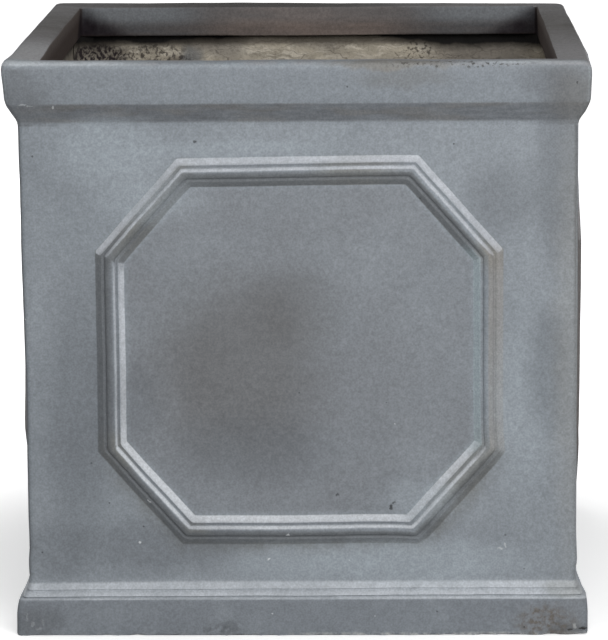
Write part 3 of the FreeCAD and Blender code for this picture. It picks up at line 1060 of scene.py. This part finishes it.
def paint_octagon(paint, spot):
    """Painted highlight with pale dry brushing on what faces up and right, and painted shade with grime
    on what faces down and left.
    """
    octagon = OctagonMap(spot)
    whole = octagon.whole
    lit = octagon.lit(spot)
    # painted shade with grime on what faces down and left
    paint.wash("#575a5e", whole * octagon.shade_and_grime(spot) * 0.72)
    for across, height, reach in MOULDING_STAINS:
        brown = spot.wobbly.stain((across, WALL_FACE, height), (reach, STAIN_DEPTH, reach))
        paint.wash("#75736a", whole * brown * 0.5)
    # painted shade on the slopes that face away from the light
    paint.wash("#66696b", octagon.away * whole * 0.65)
    # painted highlight with pale dry brushing, paler still low down and towards the left
    paint.wash("#b9bdc3", whole * lit * octagon.streaks)
    lower_lit = lit * spot.height.fade(250, 100) * spot.across.fade(80, -60, 0.3, 0.6)
    paint.wash("#d4d8dc", whole * lower_lit)
    right_bar = octagon.on_walls * spot.across.fade(108, 116) * spot.height.zone(130, 272, 14)
    inner_slope = spot.octagon.zone(-MOULDING_MM, -MOULDING_MM + SLOPE_MM, 1.0)
    paint.wash("#9babb0", right_bar * inner_slope * 0.45)
    paint.wash("#8b857d", right_bar * spot.octagon.zone(-CREST_MM, 0, 1.0) * 0.5)
    beside = spot.place.stain((196, -138, 200), (12, 50, 150), 0.7)
    paint.wash("#6a625e", whole * beside * 0.65)
    # painted shade and grime in the quirks, darker still on their side away from the light
    quirks = octagon.on_walls * octagon.quirks
    paint.wash("#6d7074", quirks * spot.across.fade(60, 130, 0.3, 0.1))
    paint.wash("#55585b", quirks * octagon.away * 0.45)
    # painted shadow and grime on the wall just outside the moulding's lower part
    shadow_and_grime_below = spot.octagon.fade(13, -1) * spot.octagon.fade(-3, 0) * octagon.on_walls
    shadow_and_grime_below = shadow_and_grime_below * spot.height.fade(140, 95) * spot.place.patches(9, 4, 0.3, 1.0)
    paint.wash("#6b6c69", shadow_and_grime_below * 0.65)
    paint_plinth_moulding(paint, spot, octagon.streaks)


def paint_plinth_moulding(paint, spot, streaks):
    """Painted highlight with pale brushing along the plinth's moulding, which hangs lower at the left.
    """
    cast_height = spot.height + spot.across.fade(-60, -190, 0.0, 1.0)
    moulding = cast_height.fade(25.6, 27) * cast_height.fade(38.2, 36)
    lit = moulding * spot.up.fade(-0.7, 0.2) * spot.across.fade(-60, 110, 0.8, 1.0)
    # painted highlight with pale brushing on what faces up, reaching into the quirks
    paint.wash("#c0c5cb", lit * streaks)
    # pale paint over the clay smeared on the moulding, partly painted light filling the shade in its
    # grooves
    smear = spot.wobbly.stain((184, -192, 33), (20, 20, 10), 0.5)
    paint.wash("#a4a8aa", smear * moulding * 0.8)


def paint_rim(paint, spot):
    """The rim's outside: a cavetto darkened with painted shade, dull ends and paler corners."""
    streaked = spot.place.squeezed(7)
    # painted shade on the down-facing cavetto, a little less towards the right
    cavetto = spot.height.fade(358.5, 361) * spot.height.fade(374, 371.8)
    tone = streaked.patches(20, 3, 0.72, 1.0) * spot.across.fade(-40, 80, 1.0, 0.88)
    paint.wash("#5f6266", cavetto * tone)
    paint.wash("#6b665e", cavetto * streaked.patches(45, 4, 0.0, 0.3, 0.48, 0.62))
    fascia = spot.height.fade(372.6, 373.8)
    paint.wash("#7f858b", fascia * spot.place.patches(30, 2, 0.5, 0.8))
    ends = spot.height.fade(356, 358) * spot.along.fade(150, 185)
    paint.wash("#6d7175", ends * spot.place.patches(20, 2, 0.3, 0.7))
    corner = fascia * spot.along.fade(190, 196) * abs(spot.right).fade(0.2, 0.5)
    paint.wash("#9aa0a5", corner * 0.7)


def paint_lip(paint, spot):
    """The lip's top: pale with a painted highlight along the front's outer edge, and darker with painted
    shade towards the back.
    """
    top = spot.up.fade(0.45, 0.75) * spot.height.fade(395, 397)
    paint.wash("#989799", top)
    # painted shade, darker towards the back
    shade_to_the_back = spot.y.fade(-150, 20) * spot.y.fade(190, 40, 0.5, 1.0)
    paint.wash("#6c6a68", top * shade_to_the_back * spot.place.patches(25, 3, 0.75, 1.0))
    # painted highlight along the front's outer edge, weaker at the right end
    edge = spot.height.fade(396, 399) * spot.y.fade(-180, -186) * spot.x.fade(155, 180, 1.0, 0.45)
    paint.wash("#949ba1", edge * spot.place.patches(15, 3, 0.5, 1.0))
    dull_end = top * spot.x.fade(145, 168) * spot.y.fade(-197, -191)
    paint.wash("#64635f", dull_end * spot.y.fade(0, -120) * 0.25)
    clean_end = top * spot.x.fade(-172, -178) * spot.y.fade(-40, -130)
    paint.wash("#cfd2d4", clean_end * 0.2)
    # painted shade, darker still along the middle of the back
    back_middle = spot.x.fade(125, 10) * spot.x.fade(-190, -60, 0.35, 1.0)
    paint.wash("#3d3833", top * spot.y.fade(172, 178) * back_middle * 0.6)
    # brighter painted highlight on the outer crest near both ends
    ends = spot.across.fade(-90, -135, 0.0, 0.9) | spot.across.fade(105, 150)
    crest = edge * spot.height.fade(398.6, 400.4) * ends * spot.y.fade(-188, -194)
    paint.wash("#c3c9ce", crest * spot.place.patches(9, 3, 0.6, 1.0))


# The painted shadow in the band's inside corners widens towards its foot, by this much for each mm down
CORNER_SPREAD = 1.6
CORNER_HEIGHT = 390


def paint_band(paint, spot):
    """The band inside the mouth: brown with old dust, bluer near its ends, with painted shade on its
    side lengths and at its foot, and painted shadow black in its corners.
    """
    streaked = spot.place.squeezed(8)
    band = Coats(spot.tree, "#655e5b")
    band.wash("#7d716b", spot.along.fade(110, 20) * streaked.patches(40, 3, 0.3, 1.0))
    ends = spot.along.fade(50, 120)
    band.wash("#59595b", ends * streaked.patches(30, 3, 0.6, 1.0))
    band.wash("#868a8e", (ends | 0.35) * spot.height.fade(384, 394) * 0.8)
    # painted shade on the band's side lengths, lighter near their top
    side_band_shade = spot.sideways.fade(0.5, 0.8)
    band.wash("#4a423f", side_band_shade)
    band.wash("#6c6562", side_band_shade * spot.height.fade(389, 399) * 0.7)
    # painted shadow in the inside corners, spreading wider towards the foot
    corner_reach = spot.height * -CORNER_SPREAD + spot.along
    level = CORNER_SPREAD * CORNER_HEIGHT
    corners = corner_reach.fade(145 - level, 172 - level)
    band.wash("#252024", corners * spot.place.patches(12, 3, 0.8, 1.0))
    foot = spot.height.zone(377.6, 378.9, 0.8) * spot.along.fade(80, 50)
    band.wash("#857c74", foot * spot.place.patches(7, 2, 0.0, 0.7))
    # painted shade at the band's foot towards its ends
    band.wash("#332c2a", spot.height.fade(380.6, 378) * spot.along.fade(50, 80) * 0.6)
    inputs = {0: spot.mouth, 6: paint.socket, 7: band.socket}
    paint.socket = node(spot.tree, "ShaderNodeMix", inputs, data_type="RGBA").outputs[2]


def paint_plinth(paint, spot):
    """The plinth's face, and its foot, which is worn pale along the ground."""
    paint.wash("#777c82", spot.height.fade(26.2, 25.4) * spot.place.patches(25, 2, 0.5, 0.9))
    foot = spot.height.fade(3.5, 1.0) * spot.across.fade(-60, 60, 0.15, 1.0)
    paint.wash("#aeb0b0", foot * spot.place.patches(6, 3, 0.0, 1.0, 0.4, 0.6))


# Lighter and darker patches on the front: colour, strength, place, and reach across and up, in mm
STAINS = [
    ("#55524f", 0.5, (-43, -191, 186), (84, 96)),
    ("#5a5e63", 0.42, (-153, -191, 165), (36, 122)),
    ("#5a5e63", 0.42, (-94, -191, 63), (84, 28)),
    ("#a3acb3", 0.42, (-129, -191, 340), (58, 34)),
    ("#5f6266", 0.42, (178, -191, 326), (24, 94)),
    ("#a3acb3", 0.36, (154, -191, 164), (34, 88)),
    ("#a3acb3", 0.48, (85, -191, 51), (102, 24)),
    ("#666563", 0.5, (187, -195, 379), (24, 26)),
    ("#63666a", 0.42, (-190, -195, 377), (22, 24)),
    ("#5c5f62", 0.42, (-184, -200, 10), (26, 16)),
    ("#4e4b48", 0.28, (0, -191, 232), (44, 42)),
    ("#5a5e63", 0.4, (172, -191, 185), (22, 62)),
    ("#5a5e63", 0.35, (-112, -191, 166), (24, 42)),
    ("#5a5e63", 0.34, (-170, -191, 60), (36, 30)),
    ("#a3acb3", 0.35, (84, -191, 96), (36, 20)),
    ("#4c4d4d", 0.45, (186, -200, 4), (18, 8)),
    ("#63666a", 0.42, (168, -200, 389), (24, 17)),
    ("#6b6a66", 0.35, (74, -200, 390), (44, 11)),
    ("#5a5e63", 0.35, (-30, -191, 131), (78, 36)),
    ("#5f6266", 0.3, (140, -191, 306), (36, 34)),
    ("#a3acb3", 0.36, (0, -191, 50), (70, 20)),
    ("#a3acb3", 0.3, (-40, -191, 341), (90, 10)),
    ("#a3acb3", 0.32, (-100, -191, 305), (60, 22)),
    ("#92918c", 0.3, (192, -191, 200), (24, 240)),
]


# Single flecks, pits, nicks and scratches on the front, listed as the stains are
MARKS = [
    ("#1c1917", 0.9, (196, -200, 5), (4.0, 1.5)),
    ("#3f4245", 0.8, (-70, -191, 346), (1.6, 1.5)),
    ("#3a3c3e", 0.9, (63, -191, 90), (1.5, 3.4)),
    ("#3f4245", 0.8, (26, -191, 99), (1.3, 1.2)),
    ("#dcdee0", 0.65, (-112, -191, 65), (1.3, 0.8)),
    ("#dcdee0", 0.6, (-22, -191, 53), (1.1, 1.0)),
    ("#dcdee0", 0.65, (-9, -198, 71), (1.2, 1.1)),
    ("#c9ccce", 0.5, (139, -191, 60), (2.6, 0.9)),
    ("#c9ccce", 0.5, (142, -191, 62), (0.9, 2.2)),
    ("#b4b8ba", 0.5, (-187, -197, 372.8), (4.0, 0.7)),
    ("#b4b8ba", 0.4, (-182, -197, 371.8), (2.6, 0.7)),
    ("#9da0a3", 0.4, (-191, -200, 14), (1.0, 4.0)),
    ("#9da0a3", 0.5, (-187.5, -200, 8.5), (1.6, 2.6)),
    ("#9da0a3", 0.45, (-183, -200, 5), (3.2, 1.2)),
    ("#9da0a3", 0.35, (-180, -200, 10), (1.2, 3.0)),
    ("#2c2a28", 0.8, (187, -200, 4), (2.5, 1.0)),
    ("#a9abaa", 0.6, (190, -200, 7), (1.6, 3.0)),
    ("#2c2a28", 0.8, (190, -191, 386), (1.2, 1.2)),
    ("#3a3c3e", 0.7, (65, -191, 93), (1.6, 1.2)),
    ("#c9ccce", 0.4, (-166, -197, 371), (0.8, 1.0)),
]


def new_material(name):
    """A new material, its node tree and its shader."""
    material = bpy.data.materials.new(name)
    material.use_nodes = True
    tree = material.node_tree
    return material, tree, tree.nodes["Principled BSDF"]


def add_bump(tree, shader, height, strength, depth):
    """Relief too fine to model, from a height at each point; the depth is in mm."""
    inputs = {"Height": height, "Strength": strength, "Distance": depth * MM}
    bump = node(tree, "ShaderNodeBump", inputs)
    connect(tree, shader, {"Normal": bump.outputs[0]})


def paint_ground(paint, spot):
    """The grey ground, cloudy all over and duller on the panels inside the octagons."""
    paint.wash("#7b8187", spot.place.patches(95, 2, 0.0, 0.6))
    paint.wash("#9aa3a9", spot.place.patches(38, 2, 0.0, 0.13))
    panel = spot.octagon.fade(-MOULDING_MM + 0.5, -MOULDING_MM - 4.5)
    paint.wash("#7b7f84", panel * spot.place.patches(60, 2, 0.5, 0.95))


def paint_wall_corner_shade(paint, spot):
    """Painted shade down the walls' rounded corners, fainter low down at each side's right."""
    near_corner = spot.along.fade(184, 187) * spot.height.zone(42, 357, 3)
    right_corner = spot.right.fade(0.05, 0.6) * spot.height.fade(150, 300, 0.15, 0.6)
    left_corner = spot.right.fade(-0.6, -0.9) * 0.7
    # painted shade where the rounded corners turn away from the light
    paint.wash("#4c4e52", near_corner * (right_corner | left_corner))


def paint_stains(paint, spot):
    """The stains on the front, with rusty dirt and a scuff at the plinth's foot."""
    for code, strength, place, (across, up) in STAINS:
        reach = (across, STAIN_DEPTH, up)
        paint.wash(code, spot.wobbly.stain(place, reach) * strength)
    rusty = spot.wobbly.stain((171, OUTER_FACE, 10), (28, STAIN_DEPTH, 16))
    paint.wash("#5e5244", rusty * spot.place.patches(4, 4, 0.25, 1.0, 0.45, 0.6) * 0.72)
    scuffed = spot.wobbly.stain((-56, OUTER_FACE, 5), (24, STAIN_DEPTH, 11), 0.0)
    paint.wash("#3e3f40", scuffed * spot.place.patches(6, 4, 0.0, 1.0, 0.42, 0.6) * 0.55)


def paint_wear(paint, spot):
    """Wear and pits along the lip's front edge, and the single marks."""
    worn = spot.wobbly.stain((66, OUTER_FACE, 400), (62, 24, 6))
    paint.wash("#7f7b73", worn * 0.7)
    pitted = spot.place.stain((108, OUTER_FACE, 399.2), (76, 24, 4))
    paint.wash("#3c3934", pitted * spot.place.patches(2.4, 2, 0.0, 0.8, 0.56, 0.62))
    for code, strength, place, (across, up) in MARKS:
        reach = (across, MARK_DEPTH, up)
        paint.wash(code, spot.ragged.stain(place, reach, 0.5) * strength)


def fine_tone(spot):
    """Mottle, brush texture and grain, as a tone a little above and below one."""
    mottle = spot.place.patches(5.5, 2, 0.955, 1.045, 0.3, 0.7)
    fine = spot.place.patches(2.6, 1, 0.93, 1.07, 0.3, 0.7)
    grain = spot.place.patches(1.2, 0, 0.915, 1.085, 0.3, 0.7)
    return mottle * fine * grain


def make_lead_paint():
    """Lead-look paint, laid on with brushes in thin grey coats over moulded fibre clay: matt and
    slightly mottled, with painted highlight and pale dry brushing where raised edges face up and right,
    painted shade on what faces down and left, and brown where grime lies in corners."""
    material, tree, shader = new_material("lead_look_paint_on_fibre_clay")
    spot = PaintMap(tree)
    paint = Coats(tree, "#8a9096")
    paint_ground(paint, spot)
    paint_octagon(paint, spot)
    paint_plinth(paint, spot)
    paint_wall_corner_shade(paint, spot)
    paint_rim(paint, spot)
    paint_stains(paint, spot)
    paint_band(paint, spot)
    paint_lip(paint, spot)
    paint_wear(paint, spot)
    pits = spot.place.specks(12, 0.9, 0.16)
    paint.wash("#3d3f42", pits * 0.7)
    paint.wash("#d5d7d8", spot.wobbly.specks(17, 0.8, 0.16) * 0.6)

    tone = fine_tone(spot)
    inputs = {0: paint, "Scale": tone}
    coloured = node(tree, "ShaderNodeVectorMath", inputs, operation="SCALE")
    inside_or_flat = spot.mouth | spot.up.fade(0.7, 0.9)
    shader.inputs["Specular IOR Level"].default_value = 0.3
    inputs = {
        "Base Color": coloured.outputs[0],
        "Roughness": inside_or_flat.fade(0, 1, 0.62, 0.95),
        "Specular IOR Level": inside_or_flat.fade(0, 1, 0.3, 0.03),
    }
    connect(tree, shader, inputs)
    add_bump(tree, shader, tone - pits, 0.3, 0.12)
    return material


def colour_laminate(clay, spot):
    """Streaks, trowelled and fibrous patches, specks and cracks, as the back's top shows them, then
    painted shade right under the band.
    """
    streaked = spot.wobbly.squeezed(6)
    fibres = spot.wobbly.squeezed(0.7)
    clay.wash("#989184", streaked.patches(60, 4, 0.0, 0.8, 0.4, 0.6))
    clay.wash("#ddd5c6", streaked.patches(17, 4, 0.0, 0.7, 0.5, 0.62))
    clay.wash("#ddd5c6", spot.wobbly.stain((-66, 182, 365), (24, 30, 10)) * 0.8)
    clay.wash("#6a635a", spot.wobbly.stain((-101, 182, 358), (17, 30, 9)) * 0.7)
    smooth_part = spot.wobbly.stain((135, 182, 360), (60, 30, 60))
    smooth = spot.place.patches(90, 2, 0.0, 0.8, 0.52, 0.6) | smooth_part
    clay.wash("#857f77", smooth * 0.9)
    clay.wash("#7d7f80", spot.wobbly.stain((-92, 182, 362), (12, 20, 14)) * 0.8)
    fibrous_part = spot.wobbly.stain((-124, 182, 361), (40, 30, 14), 0.6) * 0.75
    fibrous = spot.place.patches(70, 2, 0.0, 1.0, 0.56, 0.66) | fibrous_part
    clay.wash("#2b2527", fibrous * fibres.patches(2.6, 4, 0.0, 1.0, 0.49, 0.58))
    matted = spot.wobbly.stain((-164, 176, 363), (28, 30, 14), 0.6)
    clay.wash("#2b2527", matted * fibres.patches(2.2, 4, 0.5, 1.0, 0.42, 0.55))
    specked = spot.wobbly.stain((86, 182, 362), (16, 20, 20), 0.6) | 0.25
    clay.wash("#37322d", specked * spot.place.patches(2.3, 3, 0.0, 0.75, 0.52, 0.62))
    inputs = {"Vector": streaked, "Scale": 1 / 60}
    cells = node(clay.tree, "ShaderNodeTexVoronoi", inputs, feature="DISTANCE_TO_EDGE")
    cracks = Value(clay.tree, cells.outputs["Distance"]).fade(0.016, 0.004)
    clay.wash("#3a332c", cracks * 0.4)
    # painted shade just under the band
    clay.wash("#4e4840", spot.height.fade(368.5, 373.5) * 0.85)


def paint_shadow_and_grime_under_band(clay, spot):
    """Painted shadow and grime under the band, which reach lower at both ends than in the middle."""
    wavy = spot.wobbly.patches(22, 3, -1.3, 1.3, 0.3, 0.7)
    right_end = spot.x.fade(60, 110, 0.0, 4.8)
    left_end = spot.x.fade(-80, -125, 0.0, 2.4)
    middle = spot.along.fade(75, 30, 0.0, -1.8)
    level = spot.height + wavy + right_end + left_end + middle
    # painted shade and grime under the band, reaching lower at the ends
    clay.wash("#1c1815", level.fade(368, 376) * spot.along.fade(35, 80, 0.0, 0.8))
    # painted shadow, near black, right under the band's foot
    clay.wash("#0d0b0a", level.fade(374.8, 376.8))


def make_rough_laminate():
    """Hand-laid laminate of clay, resin and chopped glass fibre: cream to brown-grey, streaked by
    the trowel, cracked and pitted, stained dark by damp soil, and darkened under the band by painted
    shadow."""
    material, tree, shader = new_material("hand_laid_fibre_laminate")
    spot = PaintMap(tree)
    clay = Coats(tree, "#c6bdac")
    colour_laminate(clay, spot)
    paint_shadow_and_grime_under_band(clay, spot)
    inputs = {"Base Color": clay, "Roughness": 0.85, "Specular IOR Level": 0.25}
    connect(tree, shader, inputs)
    add_bump(tree, shader, spot.place.patches(2.2, 4, 0.0, 1.0, 0.3, 0.7), 0.7, 0.6)
    return material


# The photograph's camera, found from the planter's edges: place, and yaw, pitch and roll
CAMERA_PLACE = (0.0648, -2.679, 0.690)
CAMERA_ANGLES = (1.410, -10.650, 0.485)
CAMERA_LENS = 207.1
SENSOR_HEIGHT = 36.0


def add_camera():
    """The camera where the photograph's was."""
    camera_data = bpy.data.cameras.new("camera")
    camera_data.sensor_fit = "VERTICAL"
    camera_data.sensor_height = SENSOR_HEIGHT
    camera_data.lens = CAMERA_LENS
    camera = bpy.data.objects.new("camera", camera_data)
    bpy.context.collection.objects.link(camera)
    yaw, pitch, roll = (math.radians(angle) for angle in CAMERA_ANGLES)
    turn = (
        Matrix.Rotation(yaw, 4, "Z")
        @ Matrix.Rotation(pitch, 4, "X")
        @ Matrix.Rotation(roll, 4, "Y")
        @ Matrix.Rotation(math.radians(90), 4, "X")
    )
    camera.matrix_world = Matrix.Translation(CAMERA_PLACE) @ turn
    bpy.context.scene.camera = camera


# The lamps: name, place, size and power
LAMPS = [
    ("key", (0.3, -1.4, 1.0), 0.8, 13.8),
    ("right_fill", (0.9, -1.3, 1.0), 0.8, 2.5),
    ("back_fill", (-0.9, 1.8, 0.6), 1.0, 10.0),
]
LAMP_TARGET = (0, 0, 0.2)


def add_lamp(name, place, size, power):
    """A soft square lamp that points at the planter."""
    lamp = bpy.data.lights.new(name, "AREA")
    lamp.shape = "SQUARE"
    lamp.size = size
    lamp.energy = power
    lamp_object = bpy.data.objects.new(name, lamp)
    bpy.context.collection.objects.link(lamp_object)
    lamp_object.location = place
    aim = Vector(LAMP_TARGET) - Vector(place)
    lamp_object.rotation_euler = aim.to_track_quat("-Z", "Y").to_euler()


SURROUND_LIGHT = 0.2
SURROUND_SEEN = 1.0
WHITE = (1, 1, 1, 1)


def make_world():
    """A white surround that is seen, and a dimmer one that lights the object."""
    world = bpy.data.worlds.new("studio")
    world.use_nodes = True
    bpy.context.scene.world = world
    tree = world.node_tree
    path = node(tree, "ShaderNodeLightPath").outputs
    camera, glossy, through = (
        Value(tree, path[f"Is {kind} Ray"]) for kind in ("Camera", "Glossy", "Transmission")
    )
    seen = camera | glossy | through
    strength = seen.fade(0, 1, SURROUND_LIGHT, SURROUND_SEEN, "LINEAR")
    connect(tree, tree.nodes["Background"], {"Color": WHITE, "Strength": strength})


FLOOR_SIZE = 12.0
FLOOR_GREY = (0.9, 0.9, 0.9, 1)
FLOOR_ROUGHNESS = 0.9

# The floor's glow rises from the near one to the far one between these distances
GLOW_START = 0.22
GLOW_END = 0.5
FLOOR_GLOW_NEAR = 0.45
FLOOR_GLOW_FAR = 1.0


def make_floor():
    """A pale floor that keeps the planter's shadow near it and looks white further off."""
    deselect_all()
    bpy.ops.mesh.primitive_plane_add(size=FLOOR_SIZE, location=(0, 0, 0))
    floor = new_piece("studio_floor")
    material, tree, shader = new_material("pale_floor")
    place = node(tree, "ShaderNodeTexCoord").outputs["Object"]
    distance = vector_maths(tree, "LENGTH", place)
    white = distance.fade(GLOW_START, GLOW_END, FLOOR_GLOW_NEAR, FLOOR_GLOW_FAR)
    seen = node(tree, "ShaderNodeLightPath").outputs["Is Camera Ray"]
    inputs = {
        "Base Color": FLOOR_GREY,
        "Roughness": FLOOR_ROUGHNESS,
        "Emission Color": WHITE,
        "Emission Strength": white * seen,
    }
    connect(tree, shader, inputs)
    floor.data.materials.append(material)


bpy.context.scene.view_settings.view_transform = "Standard"
add_camera()
make_world()
make_floor()
for lamp_values in LAMPS:
    add_lamp(*lamp_values)

lead_paint = make_lead_paint()


def place_cast(piece, node_name):
    """Put a casting out of true, paint it and set it in place of its CAD solid."""
    note_cast_place(piece)
    make_uneven(piece)
    press_all(piece)
    shade(piece, CAST_TURN)
    piece.data.materials.append(lead_paint)
    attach(piece, "root")
    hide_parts(node_name)


for side, panel in zip(SIDES, make_walls()):
    place_cast(panel, f"{side}_wall")
for side, rim in zip(SIDES, make_rims()):
    place_cast(rim, f"{side}_rim")

rough_laminate = make_rough_laminate()


def place_rough(piece, node_name, group, share):
    """Roughen an inner piece, give it its finish and set it in place of its CAD solid."""
    roughen(piece, group, share)
    press_all(piece)
    shade(piece, ROUGH_TURN)
    piece.data.materials.append(rough_laminate)
    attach(piece, "root")
    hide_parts(node_name)


for side, laminate in zip(SIDES, make_laminates()):
    place_rough(laminate, f"{side}_backing", "inside", BACKING_SHARE)
for corner, fillet in zip(CORNERS, make_corner_fillets()):
    place_rough(fillet, f"{corner}_corner_bond", "inside", FILLET_SHARE)
place_rough(make_floor_fillet(), "floor_bond", "inside", FILLET_SHARE)
slab = make_floor_slab()
place_rough(slab, "floor_panel", "faces", FLOOR_SHARE)
drill(slab, DRAIN_RADIUS, LEDGE_HEIGHT, FLOOR_TOP)
